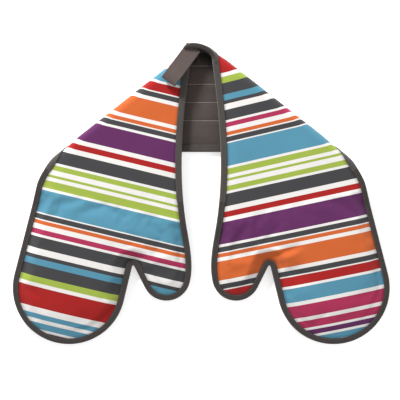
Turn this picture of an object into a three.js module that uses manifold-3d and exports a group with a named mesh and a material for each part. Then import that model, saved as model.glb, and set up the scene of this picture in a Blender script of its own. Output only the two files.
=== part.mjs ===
// Double oven glove: one long padded strip with a thumbed mitt at each end, bound all
// round, and a tape loop to hang it by. It lies folded: the middle of the strip rests with
// its print down and its quilted lining up, and each arm is folded over it on the slant.
//
// Every piece is cut from the flat pattern. There X runs along the strip, +Y is the edge
// that carries the thumbs, and the print faces down. Two hinged groups then fold the arms.
// Millimetres, +Z up, origin under the middle of the folded glove.

import * as THREE from 'three';
import { mergeVertices } from 'three/addons/utils/BufferGeometryUtils.js';
import Module from 'manifold-3d';

const wasm = await Module();
wasm.setup();

// The strip
const STRIP_LENGTH = 898;
const STRIP_WIDTH = 144;
const FLARE_START = 20;
const FLARE_SLOPE = 0.1;

// The folds: where they meet the thumb-side edge, and their slant to the strip
const FOLD_AT_EDGE = 12;
const FOLD_ANGLE = THREE.MathUtils.degToRad(38.25);
const FOLD_CUT = 0.4;

// The mitts
const POCKET_DEPTH = 202;
const MOUTH_THUMB_EDGE = 118;
const MOUTH_EDGE_SLOPE = 0.4;
const FINGER_RADIUS = 76;
const FINGERS_MIDDLE = -14.8;
const HEEL_FROM_MOUTH = 3;
const HEEL_RUN = 72;
const HEEL_INSET = 2;
const THUMB_RADIUS = 32;
const THUMB_MIDDLE = 111;
const THUMB_SETBACK = 90;
const CROTCH_ANGLE = THREE.MathUtils.degToRad(40);
const CROTCH_RADIUS = 2.5;
const POCKET_ROOM = 7.4;
const WRIST_FROM_MOUTH = 13;
const WRIST_CUT = 1.8;

// The quilted cloth, and the quilt squeezed flat under the binding
const PRINT = 0.6;
const WADDING = 3.6;
const LINING = 0.6;
const SQUEEZED_WADDING = 0.9;
const GAP = 0.3;
const EDGE_FADE = [0, 7, 12, 24];
const EDGE_SHARE = [1, 0.825, 0.7, 0];
const MOUTH_RISE = 30;

// The binding
const TAPE = 0.6;
const STRAP_BINDING = 7.6;
const MITT_BINDING = EDGE_FADE[1];
const HEM_BINDING = 9;
const MOUTH_BINDING = 8;

// The quilting threads on the lining
const THREAD_ROWS = [45, 20, -5, -30];
const THREAD_WIDTH = 0.9;
const THREAD_HEIGHT = 0.5;
const THREAD_END = 3;

// The hanging loop
const LOOP_ROOT = [-10, 69];
const LOOP_TURN = THREE.MathUtils.degToRad(-125.8);
const LOOP_LENGTH = 58;
const LOOP_WIDTH = 22;
const LOOP_TAPE = 1.2;
const LOOP_EYE = 5;
const TACK_LENGTH = 16;
const TACK_WIDTH = 2.5;
const TACK_HEIGHT = 0.6;
const TACK_FROM_ROOT = 7;

// How finely curves are drawn, and how far a cutting block reaches
const LONGEST_STEP = 45;
const ARC_STEP = THREE.MathUtils.degToRad(18);
const FREE_CURVE_STEPS = 6;
const REACH = 700;

const HALF_LENGTH = STRIP_LENGTH / 2;
const HALF_WIDTH = STRIP_WIDTH / 2;
const MOUTH = HALF_LENGTH - POCKET_DEPTH;
const WRIST = MOUTH - WRIST_FROM_MOUTH;
const QUILT = PRINT + GAP + WADDING + GAP + LINING;
const SQUEEZED_QUILT = QUILT - WADDING + SQUEEZED_WADDING;
const PALM_HEIGHT = QUILT + POCKET_ROOM;
const MID_HEIGHT = (PALM_HEIGHT + QUILT + GAP + TAPE) / 2;
const STRAP_EDGE = (QUILT - SQUEEZED_QUILT) / 2;
const MITT_EDGE = MID_HEIGHT - GAP / 2 - SQUEEZED_QUILT;
const FOLD_MIDDLE = FOLD_AT_EDGE + HALF_WIDTH / Math.tan(FOLD_ANGLE);

const SIDES = [['left', -1], ['right', 1]];
const lerp = THREE.MathUtils.lerp;

const MATERIALS = {
  print: new THREE.MeshStandardMaterial({ color: '#a8554a', roughness: 0.85, metalness: 0 }),
  wadding: new THREE.MeshStandardMaterial({ color: '#e8e6df', roughness: 1, metalness: 0 }),
  lining: new THREE.MeshStandardMaterial({ color: '#615a57', roughness: 0.9, metalness: 0 }),
  binding: new THREE.MeshStandardMaterial({ color: '#4c4543', roughness: 0.85, metalness: 0 }),
  thread: new THREE.MeshStandardMaterial({ color: '#b9b2aa', roughness: 0.7, metalness: 0 }),
  tape: new THREE.MeshStandardMaterial({ color: '#544c48', roughness: 0.85, metalness: 0 }),
};

// ---- Outline of the flat pattern ----

function crotchPoints(fingerEdge, thumbX) {
  const onThumb = new THREE.Vector2(
    thumbX + THUMB_RADIUS * Math.sin(CROTCH_ANGLE),
    THUMB_MIDDLE - THUMB_RADIUS * Math.cos(CROTCH_ANGLE),
  );
  const apexX = onThumb.x - (onThumb.y - fingerEdge) / Math.tan(CROTCH_ANGLE);
  const tangent = CROTCH_RADIUS / Math.tan(CROTCH_ANGLE / 2);
  return { onThumb, filletX: apexX + tangent };
}

// From the middle of the hem edge round one hand to the middle of the thumb-side edge
function halfPattern() {
  const fingersX = HALF_LENGTH - FINGER_RADIUS;
  const thumbX = HALF_LENGTH - THUMB_SETBACK - THUMB_RADIUS;
  const outerEdge = FINGERS_MIDDLE - FINGER_RADIUS;
  const fingerEdge = FINGERS_MIDDLE + FINGER_RADIUS;
  const heelEnd = MOUTH + HEEL_FROM_MOUTH;
  const heelHandle = HEEL_RUN / 3;
  const thumbHandle = (thumbX - MOUTH) / 3;
  const flareHandle = (MOUTH - FLARE_START) / 3;
  const { onThumb, filletX } = crotchPoints(fingerEdge, thumbX);
  const path = new THREE.Path();
  path.moveTo(0, -HALF_WIDTH);
  path.lineTo(heelEnd - HEEL_RUN, -HALF_WIDTH);
  path.bezierCurveTo(
    heelEnd - HEEL_RUN + heelHandle, -HALF_WIDTH,
    heelEnd - heelHandle, outerEdge + HEEL_INSET,
    heelEnd, outerEdge + HEEL_INSET,
  );
  path.lineTo(fingersX, outerEdge);
  path.absarc(fingersX, FINGERS_MIDDLE, FINGER_RADIUS, -Math.PI / 2, Math.PI / 2, false);
  path.lineTo(filletX, fingerEdge);
  path.absarc(
    filletX, fingerEdge + CROTCH_RADIUS, CROTCH_RADIUS,
    Math.PI * 1.5, Math.PI / 2 + CROTCH_ANGLE, true,
  );
  path.lineTo(onThumb.x, onThumb.y);
  path.absarc(
    thumbX, THUMB_MIDDLE, THUMB_RADIUS, CROTCH_ANGLE - Math.PI / 2, Math.PI / 2, false,
  );
  path.bezierCurveTo(
    thumbX - thumbHandle, THUMB_MIDDLE + THUMB_RADIUS,
    MOUTH + thumbHandle, MOUTH_THUMB_EDGE + MOUTH_EDGE_SLOPE * thumbHandle,
    MOUTH, MOUTH_THUMB_EDGE,
  );
  path.bezierCurveTo(
    MOUTH - flareHandle, MOUTH_THUMB_EDGE - MOUTH_EDGE_SLOPE * flareHandle,
    FLARE_START + flareHandle, HALF_WIDTH + FLARE_SLOPE * flareHandle,
    FLARE_START, HALF_WIDTH,
  );
  path.lineTo(0, HALF_WIDTH);
  return path;
}

function curveSteps(curve) {
  if (curve.isLineCurve) return Math.ceil(curve.getLength() / LONGEST_STEP);
  if (curve.isEllipseCurve) {
    return Math.ceil(Math.abs(curve.aEndAngle - curve.aStartAngle) / ARC_STEP);
  }
  return FREE_CURVE_STEPS;
}

// The whole outline, counter-clockwise, with both hands
function wholeOutline() {
  const half = [new THREE.Vector2(0, -HALF_WIDTH)];
  for (const curve of halfPattern().curves) {
    half.push(...curve.getPoints(curveSteps(curve)).slice(1));
  }
  const other = half.slice(1, -1).reverse().map((p) => new THREE.Vector2(-p.x, p.y));
  return [...half, ...other];
}

function edgeNormal(from, to) {
  const along = to.clone().sub(from).normalize();
  return new THREE.Vector2(-along.y, along.x);
}

// The outline moved inward by inset, or outward where inset is negative
function insetRing(outline, inset) {
  return outline.map((point, i) => {
    const before = outline[(i + outline.length - 1) % outline.length];
    const after = outline[(i + 1) % outline.length];
    const a = edgeNormal(before, point);
    const b = edgeNormal(point, after);
    const inward = a.clone().add(b).normalize();
    return point.clone().addScaledVector(inward, inset / inward.dot(a));
  });
}

// ---- Solids ----

function geometryFrom(positions, indices) {
  const geometry = new THREE.BufferGeometry();
  geometry.setAttribute('position', new THREE.Float32BufferAttribute(positions, 3));
  geometry.setIndex(indices);
  return geometry;
}

// A closed skin through rings of equal length; an open row of rings is capped flat at
// both ends, and a closed row runs back to its first ring. A ring is { inset, points }.
// Every square is split the same way, from outer to inner, so that stacked skins nest.
function skin(rings, closed) {
  const count = rings[0].points.length;
  const indices = [];
  const links = closed ? rings.length : rings.length - 1;
  for (let k = 0; k < links; k += 1) {
    const next = (k + 1) % rings.length;
    const outward = rings[next].inset < rings[k].inset;
    const near = k * count;
    const far = next * count;
    for (let i = 0; i < count; i += 1) {
      const j = (i + 1) % count;
      if (outward) indices.push(near + i, near + j, far + i, near + j, far + j, far + i);
      else indices.push(near + i, far + j, far + i, near + i, near + j, far + j);
    }
  }
  if (!closed) {
    const last = (rings.length - 1) * count;
    const flat = rings[0].points.map((p) => new THREE.Vector2(p.x, p.y));
    for (const [a, b, c] of THREE.ShapeUtils.triangulateShape(flat, [])) {
      indices.push(c, b, a, last + a, last + b, last + c);
    }
  }
  const points = rings.flatMap((ring) => ring.points);
  return geometryFrom(points.flatMap((p) => [p.x, p.y, p.z]), indices);
}

// The outline at an inset, raised to a height that depends on X
function raisedRing(inset, height) {
  const points = insetRing(OUTLINE, inset).map((p) => ({ x: p.x, y: p.y, z: height(p.x) }));
  return { inset, points };
}

function toSolid(geometry) {
  geometry.deleteAttribute('normal');
  geometry.deleteAttribute('uv');
  const merged = mergeVertices(geometry);
  const vertProperties = new Float32Array(merged.attributes.position.array);
  const triVerts = new Uint32Array(merged.index.array);
  return new wasm.Manifold(new wasm.Mesh({ numProp: 3, vertProperties, triVerts }));
}

function toGeometry(solid) {
  const mesh = solid.getMesh();
  return geometryFrom(mesh.vertProperties, [...mesh.triVerts]);
}

function block(points) {
  const shape = new THREE.Shape(points.map(([x, y]) => new THREE.Vector2(x, y)));
  const geometry = new THREE.ExtrudeGeometry(shape, { depth: 2 * REACH, bevelEnabled: false });
  geometry.translate(0, 0, -REACH);
  return toSolid(geometry);
}

function ringBlock(inset) {
  return block(insetRing(OUTLINE, inset).map((p) => [p.x, p.y]));
}

// ---- Heights of the cloth in the flat pattern ----

function shareAt(inset) {
  const last = EDGE_FADE.length - 1;
  if (inset >= EDGE_FADE[last]) return EDGE_SHARE[last];
  const k = Math.max(0, EDGE_FADE.findIndex((fade) => fade > inset) - 1);
  const t = Math.max(0, (inset - EDGE_FADE[k]) / (EDGE_FADE[k + 1] - EDGE_FADE[k]));
  return lerp(EDGE_SHARE[k], EDGE_SHARE[k + 1], t);
}

const waddingAt = (inset) => lerp(WADDING, SQUEEZED_WADDING, shareAt(inset));
const quiltAt = (inset) => lerp(QUILT, SQUEEZED_QUILT, shareAt(inset));

// The bound edge rises from the strap's own thickness to the middle of the mitt
function stripEdgeAt(x) {
  const along = THREE.MathUtils.smoothstep(Math.abs(x), MOUTH, MOUTH + MOUTH_RISE);
  return lerp(STRAP_EDGE, MITT_EDGE, along);
}

const stripUnder = (x, inset) => stripEdgeAt(x) * shareAt(inset);
const stripOver = (x, inset) => stripUnder(x, inset) + quiltAt(inset);

function palmUnder(x, inset) {
  const edge = stripEdgeAt(x) + SQUEEZED_QUILT + GAP;
  return lerp(PALM_HEIGHT, edge, shareAt(inset));
}

const palmOver = (x, inset) => palmUnder(x, inset) + quiltAt(inset);

const OUTLINE = wholeOutline();

// Cloth over the whole pattern, between two height functions
function cloth(under, over) {
  const raise = (inset, height) => raisedRing(inset, (x) => height(x, inset));
  const lower = [...EDGE_FADE].reverse().map((inset) => raise(inset, under));
  const upper = EDGE_FADE.map((inset) => raise(inset, over));
  return toSolid(skin([...lower, ...upper], false));
}

const afterPrint = PRINT + GAP;
const beforeLining = LINING + GAP;

const STRIP = {
  print: cloth(stripUnder, (x, d) => stripUnder(x, d) + PRINT),
  wadding: cloth(
    (x, d) => stripUnder(x, d) + afterPrint,
    (x, d) => stripUnder(x, d) + afterPrint + waddingAt(d),
  ),
  lining: cloth((x, d) => stripOver(x, d) - LINING, stripOver),
};

const PALM = {
  lining: cloth(palmUnder, (x, d) => palmUnder(x, d) + LINING),
  wadding: cloth(
    (x, d) => palmUnder(x, d) + beforeLining,
    (x, d) => palmUnder(x, d) + beforeLining + waddingAt(d),
  ),
  print: cloth((x, d) => palmOver(x, d) - PRINT, palmOver),
};

// A tape folded round the edge of the whole pattern, over the cloth between under and over
function edging(width, under, over) {
  const outside = -(GAP + TAPE);
  const section = [
    [width, under, -GAP - TAPE],
    [outside, under, -GAP - TAPE],
    [outside, over, GAP + TAPE],
    [width, over, GAP + TAPE],
    [width, over, GAP],
    [-GAP, over, GAP],
    [-GAP, under, -GAP],
    [width, under, -GAP],
  ];
  const rings = section.map(([inset, height, off]) =>
    raisedRing(inset, (x) => height(x, Math.max(inset, 0)) + off));
  return toSolid(skin(rings, true));
}

// A slice across one arm of the flat pattern
function band(side, from, to) {
  return block([
    [side * from, -REACH], [side * to, -REACH], [side * to, REACH], [side * from, REACH],
  ]);
}

// A tape folded round the straight edge of the palm, clear of the mitt's own edging
function mouthEdging(side) {
  const under = (x, d) => palmUnder(x, d) - GAP;
  const over = (x, d) => palmOver(x, d) + GAP;
  const lips = cloth((x, d) => under(x, d) - TAPE, under)
    .add(cloth(over, (x, d) => over(x, d) + TAPE))
    .intersect(band(side, MOUTH, MOUTH + MOUTH_BINDING));
  const web = cloth((x, d) => under(x, d) - TAPE, (x, d) => over(x, d) + TAPE)
    .intersect(band(side, MOUTH, MOUTH + TAPE));
  return lips.add(web).intersect(ringBlock(MITT_BINDING + GAP));
}

// The mitt's edging holds the strip alone up to the mouth, and both quilts beyond it
function mittEdging(side) {
  const single = edging(MITT_BINDING, stripUnder, stripOver)
    .intersect(band(side, WRIST + WRIST_CUT, MOUTH + TAPE));
  const double = edging(MITT_BINDING, stripUnder, palmOver)
    .intersect(band(side, MOUTH, REACH));
  return single.add(double);
}

// ---- Where the strip is parted at its folds and wrists ----

const foldX = (y) => FOLD_AT_EDGE + (HALF_WIDTH - y) / Math.tan(FOLD_ANGLE);
const foldY = (x) => HALF_WIDTH - (x - FOLD_AT_EDGE) * Math.tan(FOLD_ANGLE);
const SLANT_CUT = FOLD_CUT / Math.sin(FOLD_ANGLE);

function centreBlock() {
  return block([
    [0, foldY(SLANT_CUT)],
    [-(foldX(-REACH) - SLANT_CUT), -REACH],
    [foldX(-REACH) - SLANT_CUT, -REACH],
  ]);
}

function strapBlock(side) {
  const end = WRIST - WRIST_CUT;
  return block([
    [side * end, foldY(end - SLANT_CUT)],
    [side * end, REACH],
    [side * (foldX(REACH) + SLANT_CUT), REACH],
  ]);
}

function edgeSide(side) {
  const split = -FINGER_RADIUS / 2;
  return block([
    [-REACH, split], [REACH, split], [REACH, side * REACH], [-REACH, side * REACH],
  ]);
}

// ---- Named pieces ----

function piece(name, material, geometry) {
  const mesh = new THREE.Mesh(geometry, material);
  mesh.name = name;
  return mesh;
}

function solidPiece(name, material, solid) {
  return piece(name, material, toGeometry(solid));
}

// A row of quilting stitches along X on the lining
function threadRow(name, from, to, y) {
  const geometry = new THREE.BoxGeometry(to - from, THREAD_WIDTH, THREAD_HEIGHT);
  geometry.translate((from + to) / 2, y, QUILT + GAP + THREAD_HEIGHT / 2);
  return piece(name, MATERIALS.thread, geometry);
}

function quiltLayers(prefix, layers, region) {
  return Object.entries(layers).map(([layer, solid]) =>
    solidPiece(`${prefix}_${layer}`, MATERIALS[layer], solid.intersect(region)));
}

function centrePad() {
  const region = centreBlock();
  const thumbSide = region.intersect(edgeSide(1));
  const hemSide = region.intersect(edgeSide(-1));
  const group = new THREE.Group();
  group.add(...quiltLayers('centre', STRIP, region));
  group.add(solidPiece('centre_top_binding', MATERIALS.binding,
    edging(STRAP_BINDING, stripUnder, stripOver).intersect(thumbSide)));
  group.add(solidPiece('centre_hem_binding', MATERIALS.binding,
    edging(HEM_BINDING, stripUnder, stripOver).intersect(hemSide)));
  THREAD_ROWS.forEach((y, i) => {
    const end = foldX(y) - THREAD_END;
    group.add(threadRow(`centre_quilting_${i + 1}`, -end, end, y));
  });
  return group;
}

function strap(name, side) {
  const region = strapBlock(side);
  const edge = edging(STRAP_BINDING, stripUnder, stripOver).intersect(region);
  const group = new THREE.Group();
  group.add(...quiltLayers(`${name}_strap`, STRIP, region));
  group.add(solidPiece(`${name}_strap_inner_binding`, MATERIALS.binding,
    edge.intersect(edgeSide(1))));
  group.add(solidPiece(`${name}_strap_outer_binding`, MATERIALS.binding,
    edge.intersect(edgeSide(-1))));
  THREAD_ROWS.forEach((y, i) => {
    const ends = [side * (foldX(y) + THREAD_END), side * (WRIST - WRIST_CUT - THREAD_END)];
    group.add(threadRow(`${name}_strap_quilting_${i + 1}`, Math.min(...ends), Math.max(...ends), y));
  });
  return group;
}

function mitt(name, side) {
  const group = new THREE.Group();
  group.add(...quiltLayers(`${name}_mitt_back`, STRIP, band(side, WRIST + WRIST_CUT, REACH)));
  group.add(...quiltLayers(`${name}_mitt_palm`, PALM, band(side, MOUTH + TAPE + GAP, REACH)));
  group.add(solidPiece(`${name}_mitt_edge_binding`, MATERIALS.binding, mittEdging(side)));
  group.add(solidPiece(`${name}_mitt_mouth_binding`, MATERIALS.binding, mouthEdging(side)));
  return group;
}

// Puts a group built in the flat pattern on its folded side: turned over about the fold line
function foldedArm(side, ...groups) {
  const alongFold = new THREE.Group();
  alongFold.position.set(side * FOLD_MIDDLE, 0, MID_HEIGHT);
  alongFold.rotation.z = -side * FOLD_ANGLE;
  const turned = new THREE.Group();
  turned.rotation.x = Math.PI;
  const squared = new THREE.Group();
  squared.rotation.z = side * FOLD_ANGLE;
  const flat = new THREE.Group();
  flat.position.set(-side * FOLD_MIDDLE, 0, -MID_HEIGHT);
  flat.add(...groups);
  squared.add(flat);
  turned.add(squared);
  alongFold.add(turned);
  return alongFold;
}

function stadium(path, from, to, height, middle) {
  const radius = height / 2;
  path.moveTo(from + radius, middle - radius);
  path.lineTo(to - radius, middle - radius);
  path.absarc(to - radius, middle, radius, -Math.PI / 2, Math.PI / 2, false);
  path.lineTo(from + radius, middle + radius);
  path.absarc(from + radius, middle, radius, Math.PI / 2, Math.PI * 1.5, false);
  return path;
}

// A wide tape doubled back on itself, lying on the left arm with its root at the strip's edge
function hangingLoop() {
  const height = LOOP_EYE + 2 * LOOP_TAPE;
  const middle = height / 2;
  const side = stadium(new THREE.Shape(), 0, LOOP_LENGTH, height, middle);
  side.holes.push(
    stadium(new THREE.Path(), LOOP_TAPE, LOOP_LENGTH - LOOP_TAPE, LOOP_EYE, middle),
  );
  const tape = new THREE.ExtrudeGeometry(side, {
    depth: LOOP_WIDTH, bevelEnabled: false, curveSegments: 8,
  });
  tape.translate(0, 0, -LOOP_WIDTH / 2);
  tape.rotateX(Math.PI / 2);
  const tack = new THREE.BoxGeometry(TACK_WIDTH, TACK_LENGTH, TACK_HEIGHT);
  tack.translate(TACK_FROM_ROOT, 0, height + GAP + TACK_HEIGHT / 2);
  const loop = new THREE.Group();
  loop.position.set(LOOP_ROOT[0], LOOP_ROOT[1], 2 * MID_HEIGHT + GAP);
  loop.rotation.z = LOOP_TURN;
  loop.add(piece('hanging_loop', MATERIALS.tape, tape));
  loop.add(piece('hanging_loop_bar_tack', MATERIALS.thread, tack));
  return loop;
}

const glove = new THREE.Group();
glove.add(centrePad());
for (const [name, side] of SIDES) glove.add(foldedArm(side, strap(name, side), mitt(name, side)));
glove.add(hangingLoop());

// The origin goes under the middle of the folded glove
const extent = new THREE.Box3().setFromObject(glove, true);
const middle = extent.getCenter(new THREE.Vector3());
glove.position.set(-middle.x, -middle.y, -extent.min.z);

const group = new THREE.Group();
group.add(glove);
export default group;
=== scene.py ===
import math

import bpy
import numpy as np
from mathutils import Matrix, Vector
from mathutils.bvhtree import BVHTree
from mathutils.geometry import delaunay_2d_cdt


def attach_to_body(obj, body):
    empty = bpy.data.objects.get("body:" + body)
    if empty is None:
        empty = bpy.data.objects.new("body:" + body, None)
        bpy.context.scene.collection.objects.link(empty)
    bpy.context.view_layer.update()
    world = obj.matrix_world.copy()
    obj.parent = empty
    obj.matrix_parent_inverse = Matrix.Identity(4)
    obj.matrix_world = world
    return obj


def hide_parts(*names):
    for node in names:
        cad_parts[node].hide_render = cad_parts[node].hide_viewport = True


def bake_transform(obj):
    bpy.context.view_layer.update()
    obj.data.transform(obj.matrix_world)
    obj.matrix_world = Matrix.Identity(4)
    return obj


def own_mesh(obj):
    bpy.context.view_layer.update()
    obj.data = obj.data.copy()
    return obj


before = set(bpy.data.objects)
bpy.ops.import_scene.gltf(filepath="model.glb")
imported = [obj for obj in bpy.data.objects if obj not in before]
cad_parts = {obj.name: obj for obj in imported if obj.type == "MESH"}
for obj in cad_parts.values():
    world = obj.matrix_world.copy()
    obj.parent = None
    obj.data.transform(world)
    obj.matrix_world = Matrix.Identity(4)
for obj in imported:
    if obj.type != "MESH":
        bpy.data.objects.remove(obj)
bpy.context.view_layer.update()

# The glove is shaped in its flat pattern, in millimetres: u runs along the strip, +v is the
# edge with the thumbs, and w is the height above the print, which faces down. place() then
# folds the pattern the way the frame is folded, and turns it into metres.

# ---- Sizes of the flat pattern ----

MM = 0.001
STRIP_MIDDLE_Y = 130.0
HALF_LENGTH = 449.0
HALF_WIDTH = 72.0
FLARE_START = 20.0
FLARE_SLOPE = 0.1
MOUTH = 247.0
MOUTH_THUMB_EDGE = 118.0
MOUTH_EDGE_SLOPE = 0.4
FINGER_RADIUS = 76.0
FINGERS_MIDDLE = -14.8
HEEL_END = 250.0
HEEL_RUN = 72.0
HEEL_INSET = 2.0
THUMB_RADIUS = 32.0
THUMB_MIDDLE = 111.0
THUMB_SETBACK = 90.0
CROTCH_ANGLE = math.radians(40)
CROTCH_RADIUS = 2.5
WRIST_START = 222.0
WRIST_END = 246.0
PALM_START = 248.0

# ---- The fold ----

FOLD_AT_EDGE = 12.0
FOLD_ANGLE = math.radians(38.25)
FOLD_SIN = math.sin(FOLD_ANGLE)
FOLD_COS = math.cos(FOLD_ANGLE)
MID_HEIGHT = 9.55
QUILT = 5.4
ROLL_RADIUS = MID_HEIGHT - QUILT / 2
ROLL_HALF = ROLL_RADIUS * math.pi / 2

# ---- Heights of the cloth ----

SQUEEZED_QUILT = 2.7
CLOTH = 0.6
CLOTH_GAP = 0.1
PALM_HEIGHT = 12.8
STRAP_EDGE = 1.35
MITT_EDGE = 6.7
EDGE_GAP = 0.3
MOUTH_RISE = 30.0
SQUEEZE_FROM = 6.0
SQUEEZE_TO = 24.0
PALM_CEILING = 19.0
MOUTH_CEILING = 17.7
CEILING_EASE = 1.3
SWELL_ROOM_SPARE = 0.3
PALM_QUILT_AT_MOUTH = SQUEEZED_QUILT + 0.6

# ---- Tapes and threads ----

TAPE = 0.6
STRAP_BINDING = 7.6
MITT_BINDING = 7.0
HEM_BINDING = 9.0
MOUTH_BINDING = 8.0
THREAD_ROWS = [45.0, 20.0, -5.0, -30.0]

# ---- How finely the cloth is divided ----

GRID = 2.6
OUTLINE_STEP = 2.0
PATTERN_END = 455.0
PATTERN_LOW, PATTERN_HIGH = -95.0, 150.0

SIDES = [("left", -1), ("right", 1)]
CENTRE = ("centre_pad", "centre_pad")


def smooth(x, low, high):
    t = np.clip((x - low) / (high - low), 0, 1)
    return t * t * (3 - 2 * t)


def mix(a, b, t):
    return a + (b - a) * t


# ---- Outline of the flat pattern ----


def bezier(p0, p1, p2, p3, steps=40):
    t = np.linspace(0, 1, steps + 1)[:, None]
    p0, p1, p2, p3 = (np.array(p, float) for p in (p0, p1, p2, p3))
    return (1 - t) ** 3 * p0 + 3 * (1 - t) ** 2 * t * p1 + 3 * (1 - t) * t**2 * p2 + t**3 * p3


def arc(centre, radius, start, end, steps=60):
    a = np.linspace(start, end, steps + 1)
    return np.stack([centre[0] + radius * np.cos(a), centre[1] + radius * np.sin(a)], 1)


def half_outline():
    """From the middle of the hem edge round one hand to the middle of the thumb-side edge."""
    quarter = math.pi / 2
    fingers_x = HALF_LENGTH - FINGER_RADIUS
    thumb_x = HALF_LENGTH - THUMB_SETBACK - THUMB_RADIUS
    outer = FINGERS_MIDDLE - FINGER_RADIUS
    finger_edge = FINGERS_MIDDLE + FINGER_RADIUS
    on_thumb = (
        thumb_x + THUMB_RADIUS * math.sin(CROTCH_ANGLE),
        THUMB_MIDDLE - THUMB_RADIUS * math.cos(CROTCH_ANGLE),
    )
    apex_x = on_thumb[0] - (on_thumb[1] - finger_edge) / math.tan(CROTCH_ANGLE)
    fillet_x = apex_x + CROTCH_RADIUS / math.tan(CROTCH_ANGLE / 2)
    heel_handle = HEEL_RUN / 3
    thumb_handle = (thumb_x - MOUTH) / 3
    flare_handle = (MOUTH - FLARE_START) / 3
    heel_start = HEEL_END - HEEL_RUN
    parts = [
        [(0, -HALF_WIDTH), (heel_start, -HALF_WIDTH)],
        bezier((heel_start, -HALF_WIDTH), (heel_start + heel_handle, -HALF_WIDTH),
               (HEEL_END - heel_handle, outer + HEEL_INSET), (HEEL_END, outer + HEEL_INSET)),
        arc((fingers_x, FINGERS_MIDDLE), FINGER_RADIUS, -quarter, quarter),
        arc((fillet_x, finger_edge + CROTCH_RADIUS), CROTCH_RADIUS, 3 * quarter,
            quarter + CROTCH_ANGLE),
        arc((thumb_x, THUMB_MIDDLE), THUMB_RADIUS, CROTCH_ANGLE - quarter, quarter),
        bezier((thumb_x, THUMB_MIDDLE + THUMB_RADIUS),
               (thumb_x - thumb_handle, THUMB_MIDDLE + THUMB_RADIUS),
               (MOUTH + thumb_handle, MOUTH_THUMB_EDGE + MOUTH_EDGE_SLOPE * thumb_handle),
               (MOUTH, MOUTH_THUMB_EDGE)),
        bezier((MOUTH, MOUTH_THUMB_EDGE),
               (MOUTH - flare_handle, MOUTH_THUMB_EDGE - MOUTH_EDGE_SLOPE * flare_handle),
               (FLARE_START + flare_handle, HALF_WIDTH + FLARE_SLOPE * flare_handle),
               (FLARE_START, HALF_WIDTH)),
        [(0, HALF_WIDTH)],
    ]
    rough = np.concatenate([np.array(part, float) for part in parts])
    keep = np.r_[True, np.linalg.norm(np.diff(rough, axis=0), axis=1) > 1e-6]
    return rough[keep]


def resample(line, step):
    lengths = np.r_[0, np.cumsum(np.linalg.norm(np.diff(line, axis=0), axis=1))]
    count = int(round(lengths[-1] / step))
    at = np.linspace(0, lengths[-1], count + 1)
    return np.stack([np.interp(at, lengths, line[:, k]) for k in (0, 1)], 1), at


def unit(vectors):
    return vectors / np.maximum(np.linalg.norm(vectors, axis=1), 1e-20)[:, None]


EDGE, EDGE_RUN = resample(half_outline(), OUTLINE_STEP)
edge_ahead = unit(np.gradient(EDGE, axis=0))
EDGE_INWARD = np.stack([-edge_ahead[:, 1], edge_ahead[:, 0]], 1)
LEFT_RUN_SHIFT = 50.0


def signed_run(run, side):
    """The place along the outline, kept apart on the two halves, which pucker differently."""
    return run if side > 0 else -run - LEFT_RUN_SHIFT


def edge_distance(points):
    """How far each point of the half pattern lies from its outline, and where along it."""
    a, b = EDGE[:-1], EDGE[1:]
    step = b - a
    length = (step**2).sum(1)
    near = np.empty(len(points))
    run = np.empty(len(points))
    for first in range(0, len(points), 2000):
        chunk = points[first:first + 2000]
        gap = chunk[:, None, :] - a
        t = np.clip((gap * step).sum(2) / length, 0, 1)
        away = ((gap - t[:, :, None] * step) ** 2).sum(2)
        best = away.argmin(1)
        rows = np.arange(len(chunk))
        near[first:first + 2000] = np.sqrt(away[rows, best])
        run[first:first + 2000] = mix(EDGE_RUN[best], EDGE_RUN[best + 1], t[rows, best])
    return near, run


def inside_outline(points):
    """Which points of the half pattern lie inside it."""
    ring = np.vstack([EDGE, EDGE[:1]])
    x, y = points[:, 0], points[:, 1]
    odd = np.zeros(len(points), bool)
    for (x0, y0), (x1, y1) in zip(ring[:-1], ring[1:]):
        if y0 == y1:
            continue
        crosses = (y0 > y) != (y1 > y)
        odd ^= crosses & (x < x0 + (y - y0) * (x1 - x0) / (y1 - y0))
    return odd


def across_fold(u, v):
    """How far a point of the flat pattern lies beyond its fold line."""
    return (np.abs(u) - FOLD_AT_EDGE) * FOLD_SIN + (v - HALF_WIDTH) * FOLD_COS


def place(u, v, w):
    """Folds points of the flat pattern, with a round roll along each fold. Metres out."""
    far = np.abs(u)
    across = across_fold(u, v)
    along = (far - FOLD_AT_EDGE) * FOLD_COS - (v - HALF_WIDTH) * FOLD_SIN
    turn = np.clip(across / ROLL_RADIUS, -math.pi / 2, math.pi / 2)
    radius = MID_HEIGHT - w
    inside = ROLL_HALF - radius * np.cos(turn) + np.maximum(np.abs(across) - ROLL_HALF, 0)
    x = FOLD_AT_EDGE + along * FOLD_COS - inside * FOLD_SIN
    y = HALF_WIDTH - along * FOLD_SIN - inside * FOLD_COS
    hold = np.where(across < 2, smooth(far, 0, 10), 1)
    x = mix(far, x, hold)
    z = MID_HEIGHT + radius * np.sin(turn)
    return np.stack([np.where(u < 0, -x, x), y + STRIP_MIDDLE_Y, z], -1) * MM


# ---- The mesh of the flat pattern ----


def triangle_lattice(step, first_x):
    """Rows of points, set off by half a step from each other."""
    rows = np.arange(PATTERN_LOW, PATTERN_HIGH, step * math.sqrt(3) / 2)
    return np.array([(x + (step / 2 if k % 2 else 0), y)
                     for k, y in enumerate(rows) for x in np.arange(first_x, PATTERN_END, step)])


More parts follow.
